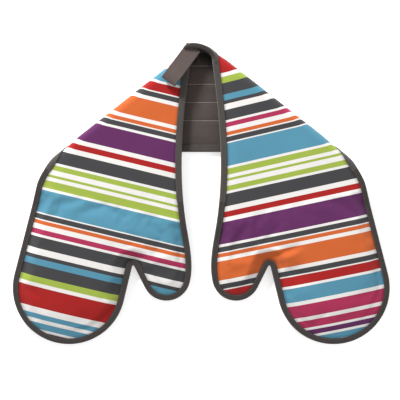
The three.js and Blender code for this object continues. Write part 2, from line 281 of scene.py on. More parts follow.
def half_mesh():
    """Triangles over the half pattern, with edges along every line where it is parted."""
    lattice = triangle_lattice(GRID, GRID)
    near, _ = edge_distance(lattice)
    across = across_fold(lattice[:, 0], lattice[:, 1]) + ROLL_HALF
    clear = near > GRID * 0.55
    for line in (across, lattice[:, 0] - WRIST_START, lattice[:, 0] - PALM_START, lattice[:, 0]):
        clear &= np.abs(line) > GRID * 0.45
    lattice = lattice[inside_outline(lattice) & clear]
    verts, edges = list(EDGE), []
    ring = list(range(len(EDGE)))
    middle = np.arange(HALF_WIDTH - GRID, -HALF_WIDTH, -GRID)
    ring += range(len(verts), len(verts) + len(middle))
    verts += [(0.0, y) for y in middle]
    steps = np.arange(-300, 300, GRID)
    slant = np.stack([
        FOLD_AT_EDGE - ROLL_HALF * FOLD_SIN + steps * FOLD_COS,
        HALF_WIDTH - ROLL_HALF * FOLD_COS - steps * FOLD_SIN,
    ], 1)
    slant = slant[slant[:, 0] > -GRID]
    for line in (slant, np.stack([np.full(len(steps), WRIST_START), steps], 1),
                 np.stack([np.full(len(steps), PALM_START), steps], 1)):
        within = inside_outline(line)
        reached = within | np.roll(within, 1)
        near_line, _ = edge_distance(line)
        line = line[reached & ((near_line > GRID * 0.45) | ~within)]
        edges += [(len(verts) + k, len(verts) + k + 1) for k in range(len(line) - 1)]
        verts += list(line)
    verts += list(lattice)
    made = delaunay_2d_cdt([Vector(p) for p in verts], edges, [ring], 1, 1e-5)
    flat = np.array([tuple(p) for p in made[0]])
    tris = np.array([f for f in made[2] if len(f) == 3])
    a, b, c = (flat[tris[:, k]] for k in range(3))
    area = (b[:, 0] - a[:, 0]) * (c[:, 1] - a[:, 1]) - (b[:, 1] - a[:, 1]) * (c[:, 0] - a[:, 0])
    tris = tris[np.abs(area) > 1e-4]
    area = area[np.abs(area) > 1e-4]
    tris[area < 0] = tris[area < 0][:, ::-1]
    return flat, tris


def whole_mesh():
    """Both halves, joined along the middle of the strip, and each point's edge distance."""
    flat, tris = half_mesh()
    near, run = edge_distance(flat)
    on_middle = np.abs(flat[:, 0]) < 1e-4
    mirrored = np.full(len(flat), -1)
    mirrored[on_middle] = np.flatnonzero(on_middle)
    mirrored[~on_middle] = len(flat) + np.arange((~on_middle).sum())
    other = flat[~on_middle] * [-1, 1]
    return (
        np.vstack([flat, other]),
        np.vstack([tris, mirrored[tris][:, ::-1]]),
        np.r_[near, near[~on_middle]],
        np.r_[run, signed_run(run[~on_middle], -1)],
    )


# ---- Unevenness of the cloth ----


def wander(x, y, size, seed):
    """Soft random unevenness from -1 to 1, with hollows and rises about size across."""
    table = np.random.default_rng(seed).uniform(-1, 1, (64, 64))
    gx, gy = x / size + 32.5, y / size + 32.5
    i, j = np.floor(gx).astype(int), np.floor(gy).astype(int)
    tx, ty = gx - i, gy - j
    tx, ty = tx * tx * (3 - 2 * tx), ty * ty * (3 - 2 * ty)
    i, j, i1, j1 = i % 64, j % 64, (i + 1) % 64, (j + 1) % 64
    low = mix(table[i, j], table[i1, j], tx)
    high = mix(table[i, j1], table[i1, j1], tx)
    return mix(low, high, ty)


def puckers(u, run, near, reach, seed):
    """Small gathers that run in from the bound edge."""
    wave = wander(run, run * 0 + 3, 8.5, seed) + 0.6 * wander(run, run * 0 + 7, 17, seed + 1)
    return wave * np.exp(-np.maximum(near - 7, 0) / reach) * smooth(near, 3, 9)


def squeeze(near):
    return 1 - smooth(near, SQUEEZE_FROM, SQUEEZE_TO)


def edge_height(u):
    return mix(STRAP_EDGE, MITT_EDGE, smooth(np.abs(u), MOUTH, MOUTH + MOUTH_RISE))


def on_arm(u, v):
    return smooth(across_fold(u, v), -ROLL_HALF, ROLL_HALF * 2)


def crease(u, v, start, end, width):
    """1 on the line from start to end, fading to 0 at its sides and ends."""
    start, end = np.array(start, float), np.array(end, float)
    run = end - start
    length = np.linalg.norm(run)
    run /= length
    t = ((u - start[0]) * run[0] + (v - start[1]) * run[1]) / length
    away = -(u - start[0]) * run[1] + (v - start[1]) * run[0]
    return np.exp(-((away / width) ** 2)) * smooth(t, -0.1, 0.2) * (1 - smooth(t, 0.6, 1.1))


class Swell:
    """How far the cloth sim lifts one side of a mitt, over the half pattern."""

    STEP = 3.0
    COLUMNS, ROWS = 160, 90
    LOW = -100

    def __init__(self):
        self.grid = np.zeros((self.COLUMNS, self.ROWS))

    def fill(self, flat, tris, lift):
        tree = BVHTree.FromPolygons([(x, y, 0) for x, y in flat], [tuple(t) for t in tris])
        for i in range(self.grid.shape[0]):
            for j in range(self.grid.shape[1]):
                x, y = i * self.STEP, j * self.STEP + self.LOW
                if x < MOUTH - 6:
                    continue
                point, _, index, _ = tree.find_nearest(Vector((x, y, 0)))
                a, b, c = (flat[k] for k in tris[index])
                m = np.array([[b[0] - a[0], c[0] - a[0]], [b[1] - a[1], c[1] - a[1]]])
                s, t = np.linalg.solve(m, [point.x - a[0], point.y - a[1]])
                k = tris[index]
                self.grid[i, j] = lift[k[0]] * (1 - s - t) + lift[k[1]] * s + lift[k[2]] * t

    def at(self, u, v):
        gx = np.clip(np.abs(u) / self.STEP, 0, self.grid.shape[0] - 1.001)
        gy = np.clip((v - self.LOW) / self.STEP, 0, self.grid.shape[1] - 1.001)
        i, j = gx.astype(int), gy.astype(int)
        tx, ty = gx - i, gy - j
        low = mix(self.grid[i, j], self.grid[i + 1, j], tx)
        high = mix(self.grid[i, j + 1], self.grid[i + 1, j + 1], tx)
        return mix(low, high, ty)


BACK_SWELL = {-1: Swell(), 1: Swell()}
PALM_SWELL = {-1: Swell(), 1: Swell()}


def swell_at(swells, u, v, near):
    lift = np.where(u < 0, swells[-1].at(u, v), swells[1].at(u, v))
    return lift * smooth(near, 2, 14)


def plain_strip_under(u, near):
    return edge_height(u) * squeeze(near)


def plain_palm_under(u, near):
    rim = edge_height(u) + SQUEEZED_QUILT + EDGE_GAP
    return mix(PALM_HEIGHT, rim, squeeze(near))


def inward_room(u, near):
    """How far each side of a mitt may sink towards the other."""
    pocket = plain_palm_under(u, near) - plain_strip_under(u, near) - quilt_at(near)
    return np.maximum(pocket / 2 - SWELL_ROOM_SPARE, 0)


def seam_gathers(u, run, near):
    """The puckers along the bound edge, which both sides of a mitt share."""
    return 0.55 * puckers(u, run, near, 7, 8) * mix(0.5, 1.15, smooth(np.abs(u), 230, 300))


# Side, depth, start, end and width of each crease that runs in from the crotch
CROTCH_CREASES = [
    (1, 2.6, (313, 60), (306, 12), 3.4), (1, -1.2, (321, 58), (314, 16), 4.0),
    (-1, 0.6, (322, 62), (316, 36), 4.0),
]


def strip_under(u, v, near, run):
    """The print side of the strip."""
    free = on_arm(u, v)
    waves = 0.55 * wander(u, v, 55, 5) + 0.25 * wander(u, v, 24, 6)
    folds = sum(depth * crease(side * u, v, start, end, width) * (side * u > 0)
                for side, depth, start, end, width in CROTCH_CREASES)
    inner = (waves + folds * smooth(near, 4, 14)) * (1 - squeeze(near))
    relief = (inner + seam_gathers(u, run, near)) * free
    lift = np.minimum(swell_at(BACK_SWELL, u, v, near), inward_room(u, near))
    return plain_strip_under(u, near) + relief + lift


def quilt_at(near):
    return mix(QUILT, SQUEEZED_QUILT, squeeze(near))


def strip_over(u, v, near, run):
    """The lining side of the strip, drawn in along its rows of quilting."""
    over = strip_under(u, v, near, run) + quilt_at(near)
    rows = sum(np.exp(-(((v - row) / 2.4) ** 2)) for row in THREAD_ROWS)
    held = (1 - squeeze(near)) * (1 - smooth(np.abs(u), WRIST_START - 12, WRIST_START))
    puff = 0.3 * wander(u * 0.4, v, 12, 21) * (1 - smooth(np.abs(u), 200, WRIST_START))
    return over - 0.75 * rows * held + puff * (1 - squeeze(near))


def mouth_squeeze(u):
    return 1 - smooth(np.abs(u) - MOUTH, 5, 22)


def palm_quilt(u, near):
    return mix(quilt_at(near), PALM_QUILT_AT_MOUTH, mouth_squeeze(u))


def palm_over(u, v, near, run):
    """The print side of the palm, which rests on the table when the glove lies folded."""
    over = plain_palm_under(u, near) + palm_quilt(u, near)
    over = over + 0.5 * wander(u, v, 45, 31) * (1 - squeeze(near))
    lift = np.maximum(swell_at(PALM_SWELL, u, v, near), -inward_room(u, near))
    over = over + seam_gathers(u, run, near) + lift
    start = mix(PALM_CEILING, MOUTH_CEILING, mouth_squeeze(u)) - CEILING_EASE
    beyond = np.maximum(over - start, 0)
    return np.minimum(over, start) + CEILING_EASE * np.tanh(beyond / CEILING_EASE)


def palm_under(u, v, near, run):
    return palm_over(u, v, near, run) - palm_quilt(u, near)


# ---- Inflating the mitts ----


def coarse_mitt(step):
    """Triangles over one hand of the pattern, beyond the mouth."""
    lattice = triangle_lattice(step, MOUTH + step)
    near, _ = edge_distance(lattice)
    lattice = lattice[inside_outline(lattice) & (near > step * 0.6)]
    rim, _ = resample(EDGE, step)
    rim = rim[rim[:, 0] > MOUTH + step * 0.4]
    first = np.interp(MOUTH, EDGE[:200, 0], EDGE[:200, 1])
    mouth = np.arange(MOUTH_THUMB_EDGE, first, -step)
    ring = list(range(len(rim) + len(mouth) + 1))
    verts = list(rim) + [(MOUTH, y) for y in mouth] + [(MOUTH, first)] + list(lattice)
    made = delaunay_2d_cdt([Vector(p) for p in verts], [], [ring], 1, 1e-5)
    flat = np.array([tuple(p) for p in made[0]])
    tris = np.array([f for f in made[2] if len(f) == 3])
    edge = np.isin(np.arange(len(flat)), [k for k, was in enumerate(made[3])
                                          if was and min(was) < len(ring)])
    return flat, tris, edge


def boundary_edges(tris):
    """The directed edges that only one triangle has."""
    edges = np.vstack([tris[:, [0, 1]], tris[:, [1, 2]], tris[:, [2, 0]]])
    known = {tuple(e) for e in edges}
    return np.array([e for e in edges if (e[1], e[0]) not in known])


COARSE_STEP = 5.0
AIR_PRESSURE = 4.0
SWELL_FRAMES = 20
SWELL_CAP = 4.0
SWELL_SEED = 40


def inflate(side, seed):
    """Fills one mitt with air as a cloth, and keeps how far its two sides move."""
    flat, tris, edge = coarse_mitt(COARSE_STEP)
    near, _ = edge_distance(flat)
    u = flat[:, 0]
    jitter = 0.5 * wander(flat[:, 0], flat[:, 1], 14, seed)
    back = plain_strip_under(u, near) + QUILT / 2 + jitter * ~edge
    palm = plain_palm_under(u, near) + QUILT / 2 + jitter * ~edge
    count = len(flat)
    verts = np.vstack([np.c_[flat, back], np.c_[flat, palm]]) * MM
    walls = [(a, b, b + count, a + count) for a, b in boundary_edges(tris)]
    faces = [tuple(t[::-1]) for t in tris] + [tuple(t + count) for t in tris] + walls
    mesh = bpy.data.meshes.new("swelling_mitt")
    mesh.from_pydata(verts.tolist(), [], faces)
    pillow = bpy.data.objects.new("swelling_mitt", mesh)
    bpy.context.scene.collection.objects.link(pillow)
    pins = pillow.vertex_groups.new(name="held")
    pins.add([int(k) for k in np.flatnonzero(np.r_[edge, edge])], 1.0, "REPLACE")
    cloth = pillow.modifiers.new("cloth", "CLOTH")
    settings = cloth.settings
    settings.quality = 6
    settings.mass = 0.25
    settings.tension_stiffness = 12
    settings.compression_stiffness = 12
    settings.shear_stiffness = 4
    settings.bending_stiffness = 0.4
    settings.use_pressure = True
    settings.uniform_pressure_force = AIR_PRESSURE
    settings.shrink_min = -0.03
    settings.vertex_group_mass = "held"
    settings.effector_weights.gravity = 0
    cloth.collision_settings.use_self_collision = False
    scene = bpy.context.scene
    for number in range(1, SWELL_FRAMES + 1):
        scene.frame_set(number)
    shaped = pillow.evaluated_get(bpy.context.evaluated_depsgraph_get())
    moved = np.empty(len(verts) * 3)
    shaped.data.vertices.foreach_get("co", moved)
    lift = (moved.reshape(-1, 3)[:, 2] - verts[:, 2]) / MM
    scene.frame_set(1)
    bpy.data.objects.remove(pillow)
    lift = SWELL_CAP * np.tanh(lift / SWELL_CAP)
    BACK_SWELL[side].fill(flat, tris, lift[:count])
    PALM_SWELL[side].fill(flat, tris, lift[count:])


for name, side in SIDES:
    inflate(side, SWELL_SEED + side)


# ---- Materials ----

COLOURS = {
    "red": "#9e1917", "orange": "#c45e2b", "green": "#96a943", "teal": "#4f889f",
    "purple": "#5a2556", "pink": "#a32b51", "grey": "#3c3c3e", "white": "#dedbd8",
}
STRIPES = [
    ("red", 26.1), ("white", 6.1), ("green", 7.5), ("grey", 15.7), ("teal", 8.9), ("grey", 5.5),
    ("white", 8.5), ("grey", 15.2), ("white", 2.3), ("pink", 8.2), ("white", 5.5),
    ("orange", 5.7), ("white", 1.6), ("grey", 6.6), ("white", 1.6), ("teal", 31.2),
    ("white", 3.6), ("green", 9.8), ("white", 5.6), ("green", 3.7), ("white", 5.7),
    ("green", 8.1), ("white", 3.1), ("grey", 17.4), ("white", 6.3), ("red", 8.7),
    ("white", 4.9), ("purple", 27.1), ("white", 3.6), ("grey", 7.1), ("white", 1.9),
    ("orange", 4.1), ("white", 6.0), ("orange", 25.1), ("white", 6.1), ("grey", 6.0),
    ("white", 2.5), ("red", 11.9), ("white", 2.5), ("teal", 19.4), ("white", 5.7),
    ("pink", 16.1), ("white", 5.6), ("pink", 10.4), ("white", 2.9), ("purple", 6.6),
    ("white", 4.5), ("teal", 8.2), ("white", 5.5), ("teal", 5.6), ("white", 10.0),
]
STRIPES_START = 28.7
PRINT_SKEW = math.tan(math.radians(2.2))


def linear(code):
    values = [int(code[k:k + 2], 16) / 255 for k in (1, 3, 5)]
    return [v / 12.92 if v <= 0.04045 else ((v + 0.055) / 1.055) ** 2.4 for v in values] + [1.0]


class Nodes:
    """Adds nodes to a tree, and links or sets their inputs, by name or by number."""

    def __init__(self, tree):
        self.tree = tree

    def add(self, kind, inputs=(), **settings):
        node = self.tree.nodes.new(kind)
        for key, value in settings.items():
            setattr(node, key, value)
        for key, value in dict(inputs).items():
            if isinstance(value, bpy.types.NodeSocket):
                self.tree.links.new(value, node.inputs[key])
            else:
                node.inputs[key].default_value = value
        return node

    def link(self, source, target):
        self.tree.links.new(source, target)

    def math(self, operation, *values):
        return self.add("ShaderNodeMath", enumerate(values), operation=operation).outputs[0]

    def scaled(self, vector, factor):
        """A vector or colour times a number."""
        return self.add("ShaderNodeVectorMath", {0: vector, "Scale": factor},
                        operation="SCALE").outputs[0]

    def noise(self, vector, scale, detail):
        return self.add("ShaderNodeTexNoise", {"Vector": vector, "Scale": scale,
                                               "Detail": detail}).outputs[0]


def shader_group(name, inputs, outputs):
    tree = bpy.data.node_groups.new(name, "ShaderNodeTree")
    for socket, kind, value in inputs:
        made = tree.interface.new_socket(name=socket, in_out="INPUT", socket_type=kind)
        if value is not None:
            made.default_value = value
    for socket, kind in outputs:
        tree.interface.new_socket(name=socket, in_out="OUTPUT", socket_type=kind)
    nodes = Nodes(tree)
    return tree, nodes, nodes.add("NodeGroupInput").outputs, nodes.add("NodeGroupOutput").inputs


def plain_weave_group():
    """Threads that pass over and under each other, with slubs. Height and a thread mask."""
    tree, n, given, out = shader_group(
        "plain_weave",
        [("Vector", "NodeSocketVector", None), ("Thread", "NodeSocketFloat", 0.0005),
         ("Slub", "NodeSocketFloat", 0.3)],
        [("Height", "NodeSocketFloat"), ("Shade", "NodeSocketFloat")])
    spread = n.scaled(given["Vector"], n.math("DIVIDE", math.pi, given["Thread"]))
    split = n.add("ShaderNodeSeparateXYZ", {0: spread}).outputs
    warp, weft = n.math("SINE", split[0]), n.math("SINE", split[1])
    over = n.math("MULTIPLY", warp, weft)
    ridges = n.math("ADD", n.math("ABSOLUTE", warp), n.math("ABSOLUTE", weft))
    slubs = n.noise(given["Vector"], 900.0, 3.0)
    slub = n.math("MULTIPLY", n.math("SUBTRACT", slubs, 0.5), given["Slub"])
    height = n.math("ADD", n.math("MULTIPLY", over, 0.35), n.math("MULTIPLY", ridges, 0.25))
    n.link(n.math("ADD", height, slub), out["Height"])
    shade = n.math("ADD", n.math("MULTIPLY", over, 0.5), n.math("MULTIPLY", slub, 2.0))
    n.link(shade, out["Shade"])
    return tree


def twill_group():
    """Slanting ribs of a twill tape. Height and a rib mask."""
    tree, n, given, out = shader_group(
        "twill",
        [("Vector", "NodeSocketVector", None), ("Rib", "NodeSocketFloat", 0.0011),
         ("Slub", "NodeSocketFloat", 0.3)],
        [("Height", "NodeSocketFloat"), ("Shade", "NodeSocketFloat")])
    split = n.add("ShaderNodeSeparateXYZ", {0: given["Vector"]}).outputs
    slant = n.math("ADD", split[0], split[1])
    turns = n.math("MULTIPLY", n.math("DIVIDE", slant, given["Rib"]), 2 * math.pi)
    rib = n.math("SINE", turns)
    steep = n.math("DIVIDE", n.math("SUBTRACT", split[0], split[1]), given["Rib"])
    cross = n.math("SINE", n.math("MULTIPLY", steep, 5 * math.pi))
    slubs = n.noise(given["Vector"], 700.0, 3.0)
    slub = n.math("MULTIPLY", n.math("SUBTRACT", slubs, 0.5), given["Slub"])
    height = n.math("ADD", n.math("MULTIPLY", rib, 0.5), n.math("MULTIPLY", cross, 0.15))
    n.link(n.math("ADD", height, slub), out["Height"])
    n.link(n.math("ADD", n.math("MULTIPLY", rib, 0.4), slub), out["Shade"])
    return tree


# How much painted shade darkens the cloth beside its bound edges, and in the top hollow of the
# centre lining.
SEAM_PAINTED_SHADE = 0.42


def handled_and_shaded_group():
    """Unevenness of a washed and handled cloth, patches and lint, and painted shade, which darkens
    the cloth where its seam input falls below 1.
    """
    tree, n, given, out = shader_group(
        "handled_and_shaded",
        [("Colour", "NodeSocketColor", None), ("Vector", "NodeSocketVector", None),
         ("Seam", "NodeSocketFloat", 1.0), ("Shade", "NodeSocketFloat", 0.0),
         ("Patches", "NodeSocketFloat", 0.08), ("Thread Contrast", "NodeSocketFloat", 0.1)],
        [("Colour", "NodeSocketColor")])
    patches = n.noise(given["Vector"], 22.0, 4.0)
    lint = n.noise(given["Vector"], 260.0, 3.0)
    uneven = n.math("ADD", n.math("SUBTRACT", patches, 0.5),
                    n.math("MULTIPLY", n.math("SUBTRACT", lint, 0.5), 0.7))
    change = n.math("MULTIPLY", uneven, given["Patches"])
    threads = n.math("MULTIPLY", given["Shade"], given["Thread Contrast"])
    # Painted shade: the colour is darkened where the seam input is below 1.
    seam_shade = n.math("MULTIPLY", n.math("SUBTRACT", given["Seam"], 1.0), SEAM_PAINTED_SHADE)
    value = n.math("ADD", n.math("ADD", n.math("ADD", change, threads), seam_shade), 1.0)
    n.link(n.scaled(given["Colour"], value), out["Colour"])
    return tree


PLAIN_WEAVE = plain_weave_group()
TWILL = twill_group()
HANDLED_AND_SHADED = handled_and_shaded_group()


def striped(n, along):
    """The colour of the print at a distance along the strip, in metres."""
    repeat = sum(width for _, width in STRIPES) * MM
    shifted = n.math("SUBTRACT", along, STRIPES_START * MM)
    share = n.math("FRACT", n.math("DIVIDE", shifted, repeat))
    edges = np.cumsum([0] + [width for _, width in STRIPES]) * MM / repeat
    ramps = []
    half = (len(STRIPES) + 1) // 2
    for first, last in ((0, half), (half, len(STRIPES))):
        node = n.add("ShaderNodeValToRGB", {0: share})
        ramp = node.color_ramp
        ramp.interpolation = "CONSTANT"
        for k in range(first, last):
            if k < first + 2:
                stop = ramp.elements[k - first]
                stop.position = float(edges[k])
            else:
                stop = ramp.elements.new(float(edges[k]))
            stop.color = linear(COLOURS[STRIPES[k][0]])
        ramps.append(node.outputs[0])
    later = n.math("GREATER_THAN", share, float(edges[half]))
    return n.add("ShaderNodeMix", {0: later, 6: ramps[0], 7: ramps[1]},
                 data_type="RGBA").outputs[2]


def new_material(name):
    material = bpy.data.materials.new(name)
    material.use_nodes = True
    material.node_tree.nodes.clear()
    return material, Nodes(material.node_tree)


def finish_material(n, **inputs):
    """Ends a material in a Principled shader; an input's name has _ for each space."""
    named = {key.replace("_", " "): value for key, value in inputs.items()}
    shader = n.add("ShaderNodeBsdfPrincipled", named).outputs[0]
    n.add("ShaderNodeOutputMaterial", {0: shader})


def cloth_material(name, weave, thread, colour=None, bump=0.0002, contrast=0.1, patches=0.08,
                   sheen=0.3, slub=0.3):
    """A woven cloth. Without a colour it is the striped print."""
    material, n = new_material(name)
    uv = n.add("ShaderNodeUVMap", uv_map="cloth").outputs[0]
    if colour is None:
        base = striped(n, n.add("ShaderNodeSeparateXYZ", {0: uv}).outputs[0])
    else:
        base = n.add("ShaderNodeRGB").outputs[0]
        base.default_value = linear(colour)
    size = "Rib" if weave is TWILL else "Thread"
    woven = n.add("ShaderNodeGroup", {"Vector": uv, size: thread, "Slub": slub},
                  node_tree=weave).outputs
    # Painted shade beside the bound edges comes from each piece's seam attribute.
    seam_shade = n.add("ShaderNodeAttribute", attribute_name="seam_shade").outputs["Fac"]
    used = n.add("ShaderNodeGroup", {
        "Colour": base, "Vector": uv, "Seam": seam_shade, "Shade": woven["Shade"],
        "Patches": patches, "Thread Contrast": contrast}, node_tree=HANDLED_AND_SHADED).outputs[0]
    relief = n.add("ShaderNodeBump", {"Height": woven["Height"], "Strength": 0.6,
                                      "Distance": bump}).outputs[0]
    finish_material(n, Base_Color=used, Normal=relief, Roughness=0.85, Sheen_Weight=sheen,
                    Sheen_Roughness=0.5, Specular_IOR_Level=0.2)
    return material


def plain_material(name, colour, roughness, grain, sheen):
    """A thread or padding, with fine uneven fibres on Object coordinates."""
    material, n = new_material(name)
    at = n.add("ShaderNodeTexCoord").outputs["Object"]
    fibres = n.noise(at, grain, 4.0)
    shade = n.math("ADD", n.math("MULTIPLY", fibres, 0.4), 0.8)
    relief = n.add("ShaderNodeBump", {"Height": fibres, "Strength": 0.5,
                                      "Distance": 0.0002}).outputs[0]
    finish_material(n, Base_Color=n.scaled(linear(colour)[:3], shade), Normal=relief,
                    Roughness=roughness, Sheen_Weight=sheen)
    return material


MATERIALS = {
    "print": cloth_material("striped_cotton", PLAIN_WEAVE, 0.00048, bump=0.0001, contrast=0.07,
                            patches=0.1, sheen=0.15),
    "lining": cloth_material("lining_cotton", PLAIN_WEAVE, 0.0006, colour="#4b4340",
                             bump=0.0002, contrast=0.3, patches=0.5, slub=0.6, sheen=0.08),
    "binding": cloth_material("binding_tape", TWILL, 0.0012, colour="#47423f", bump=0.00025,
                              contrast=0.3, patches=0.3, sheen=0.3),
    "mitt_binding": cloth_material("mitt_binding_tape", TWILL, 0.0012, colour="#3b3634",
                                   bump=0.00025, contrast=0.3, patches=0.3, sheen=0.2),
    "loop": cloth_material("loop_tape", TWILL, 0.0013, colour="#574b48", bump=0.00028,
                           contrast=0.3, patches=0.28, sheen=0.3),
    "wadding": plain_material("wadding_felt", "#e4e1d8", 1.0, 900.0, 0.4),
    "quilting_thread": plain_material("quilting_thread", "#a79f98", 0.6, 3000.0, 0.2),
    "binding_thread": plain_material("binding_thread", "#48413f", 0.6, 3000.0, 0.2),
}


# ---- Pieces ----


def linked(mesh, name):
    made = bpy.data.objects.new(name, mesh)
    bpy.context.scene.collection.objects.link(made)
    return made


def attach(made, body, slot, *nodes):
    """Makes a finished piece ride on its part of the glove and hides the parts it stands for; a
    piece that spans two parts is only baked where it lies.
    """
    if body[0] == body[1]:
        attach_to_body(made, body[0])
    else:
        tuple(body[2])
        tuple(body[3])
        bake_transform(made)
    if nodes:
        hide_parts(*nodes)
    return made


def on_fold(side):
    top = (2 * MID_HEIGHT - QUILT) * MM
    return ("centre_pad", f"{side}_strap", (0, 0, QUILT * MM), (0, 0, top))


def on_wrist(side):
    sign = -1 if side == "left" else 1
    ends = [tuple(float(x) for x in place(np.array(sign * u), np.array(0.0), np.array(0.0)))
            for u in (WRIST_START, WRIST_END)]
    return (f"{side}_strap", f"{side}_mitt", *ends)


def vertex_normals(points, tris):
    a, b, c = (points[tris[:, k]] for k in range(3))
    face = np.cross(b - a, c - a)
    total = np.zeros_like(points)
    for k in range(3):
        np.add.at(total, tris[:, k], face)
    return unit(total)


# How far the print lies off its even repeat, and between which places that comes on
PRINT_SHIFTS = [(3.0, 0, 30), (4.2, 80, 140), (2.4, 182, 192), (-2.4, 258, 284),
                (-2.4, 260, 420)]


def print_u(u, v):
    """Where a point lies along the print, which was cut a little off the grain on the right."""
    shift = sum(size * smooth(u, start, end) for size, start, end in PRINT_SHIFTS)
    return u + v * PRINT_SKEW * smooth(u, 60, 380) + shift - smooth(-u, 40, 90)


def make_mesh(name, verts, faces, loop_normals, uv, seam_shade, material):
    mesh = bpy.data.meshes.new(name)
    mesh.from_pydata(verts.tolist(), [], faces)
    mesh.polygons.foreach_set("use_smooth", np.ones(len(faces), bool))
    loops = np.empty(len(mesh.loops), np.int32)
    mesh.loops.foreach_get("vertex_index", loops)
    layer = mesh.uv_layers.new(name="cloth")
    layer.data.foreach_set("uv", uv[loops].astype(np.float32).ravel())
    # The seam attribute holds painted shade: 1 leaves the colour as it is, less darkens it.
    attribute = mesh.attributes.new("seam_shade", "FLOAT", "POINT")
    attribute.data.foreach_set("value", seam_shade.astype(np.float32))
    mesh.materials.append(material)
    if loop_normals is not None:
        mesh.normals_split_custom_set(loop_normals.tolist())
    mesh.update()
    return linked(mesh, name)


# How strongly painted shade darkens the top of the centre lining, in the hollow under the curled
# tape and the loop.
TOP_HOLLOW_PAINTED_SHADE = 1.9


class Quilt:
    """One cloth of the pattern between two heights, ready to be parted into pieces."""

    def __init__(self, kind, flat, tris, near, under, over):
        self.kind, self.flat, self.tris, self.near = kind, flat, tris, near
        self.low = place(flat[:, 0], flat[:, 1], under)
        self.high = place(flat[:, 0], flat[:, 1], over)
        self.low_normal = -vertex_normals(self.low, tris)
        self.high_normal = vertex_normals(self.high, tris)

    def piece(self, name, keep):
        """The closed cloth over the triangles that keep marks, its flat size and its area."""
        used, compact = np.unique(self.tris[keep], return_inverse=True)
        tris = compact.reshape(-1, 3)
        count = len(used)
        rim = boundary_edges(tris)
        verts = np.vstack([self.low[used], self.high[used]])
        walls = np.stack([rim[:, 0], rim[:, 1], rim[:, 1] + count, rim[:, 0] + count], 1)
        faces = [tuple(t) for t in (tris[:, ::-1]).tolist()]
        faces += [tuple(t) for t in (tris + count).tolist()]
        faces += [tuple(q) for q in walls.tolist()]
        wall_normal = unit(np.cross(verts[walls[:, 1]] - verts[walls[:, 0]],
                                    verts[walls[:, 3]] - verts[walls[:, 0]]))
        loop_normals = np.vstack([
            self.low_normal[used][tris[:, ::-1]].reshape(-1, 3),
            self.high_normal[used][tris].reshape(-1, 3),
            np.repeat(wall_normal, 4, axis=0),
        ])
        flat = self.flat[used]
        u, v = flat.T
        uv = np.stack([print_u(u, v), v], 1) * MM
        # Painted shade: the cloth darkens towards its outline, from about 12 mm in, where it runs
        # under the binding.
        seam_shade = smooth(self.near[used], 7.2, 12)
        # Painted shade: the centre lining is darkened towards its top edge, where the curled tape
        # and the loop would shade it.
        if name == "centre_lining_cloth":
            seam_shade = seam_shade * (1 - TOP_HOLLOW_PAINTED_SHADE * smooth(v, 32, 62))
        made = make_mesh(name, verts, faces, loop_normals, np.vstack([uv, uv]),
                         np.r_[seam_shade, seam_shade], MATERIALS[self.kind])
        a, b, c = (flat[tris[:, k]] for k in range(3))
        area = 0.5 * np.abs(np.cross(b - a, c - a)).sum() * MM * MM
        size = np.ptp(flat, axis=0) * MM
        return made, (float(size[1]), float(size[0])), float(area)


flat, tris, near, run = whole_mesh()
u, v = flat.T
middle = flat[tris].mean(1)
far = np.abs(middle[:, 0])
is_centre = across_fold(middle[:, 0], middle[:, 1]) < -ROLL_HALF
is_strap = ~is_centre & (far < WRIST_START)
is_back = far > WRIST_START
is_palm = far > PALM_START

hand_tris = tris[is_palm]
hand_middle = flat[hand_tris].mean(1)


def quilt_layers(tris, low, high, outside_first):
    """The print, lining and wadding of a quilt between two heights."""
    inner = CLOTH + CLOTH_GAP
    outside, inside = (low, low + CLOTH), (high - CLOTH, high)
    layers = {"print": outside, "lining": inside}
    if not outside_first:
        layers = {"lining": outside, "print": inside}
    layers["wadding"] = (low + inner, high - inner)
    return {kind: Quilt(kind, flat, tris, near, *heights) for kind, heights in layers.items()}


strip = quilt_layers(tris, strip_under(u, v, near, run), strip_over(u, v, near, run), True)
palm = quilt_layers(hand_tris, palm_under(u, v, near, run), palm_over(u, v, near, run), False)


def sew(region, keep, body, quilt):
    """The print, wadding and lining of one part of the glove."""
    for kind, cloth in quilt.items():
        name = f"{region}_{kind}"
        made, size, area = cloth.piece(f"{name}_cloth", keep)
        attach(made, body, kind, name)


sew("centre", is_centre, CENTRE, strip)
for name, side in SIDES:
    same_side = middle[:, 0] * side > 0
    sew(f"{name}_strap", is_strap & same_side, on_fold(name), strip)
    sew(f"{name}_mitt_back", is_back & same_side, on_wrist(name), strip)
    sew(f"{name}_mitt_palm", hand_middle[:, 0] * side > 0, (f"{name}_mitt",) * 2, palm)


# ---- Binding ----


def tape_section(width):
    """The tape's section: how far in from the edge, which face, and how far off the cloth.
    Face 0 is under the cloth, 1 over it, and between them round the edge."""
    lift, inner = 0.35 + TAPE, 0.3
    outer = [(width, 0, inner + 0.1), (width + 0.25, 0, inner + 0.45),
             (width - 0.2, 0, lift + 0.12), (width - 1.4, 0, lift - 0.05),
             (width * 0.6, 0, lift + 0.05), (width * 0.3, 0, lift + 0.05),
             (1.0, 0, lift), (0.0, 0, lift - 0.2),
             (-0.6, 0.18, 0), (-0.95, 0.5, 0), (-0.6, 0.82, 0), (0.0, 1, lift - 0.2),
             (1.0, 1, lift), (width * 0.3, 1, lift + 0.05), (width * 0.6, 1, lift + 0.05),
             (width - 1.4, 1, lift - 0.05), (width - 0.2, 1, lift + 0.12),
             (width + 0.25, 1, inner + 0.45), (width, 1, inner + 0.1)]
    inside = [(width * 0.5, 1, inner - 0.15), (0.6, 1, inner - 0.1), (-0.25, 0.6, 0),
              (-0.25, 0.4, 0), (0.6, 0, inner - 0.1), (width * 0.5, 0, inner - 0.15)]
    return outer + inside


def tube_faces(count, length):
    """The faces of a closed tube of length rings with count points each, ends and all."""
    faces = []
    for k in range(length - 1):
        for j in range(count):
            a, b = k * count + j, k * count + (j + 1) % count
            faces.append((a, a + count, b + count, b))
    faces.append(tuple(range(count)))
    faces.append(tuple(range((length - 1) * count, length * count))[::-1])
    return faces


FACE_CHANGE_WEIGHT = 3


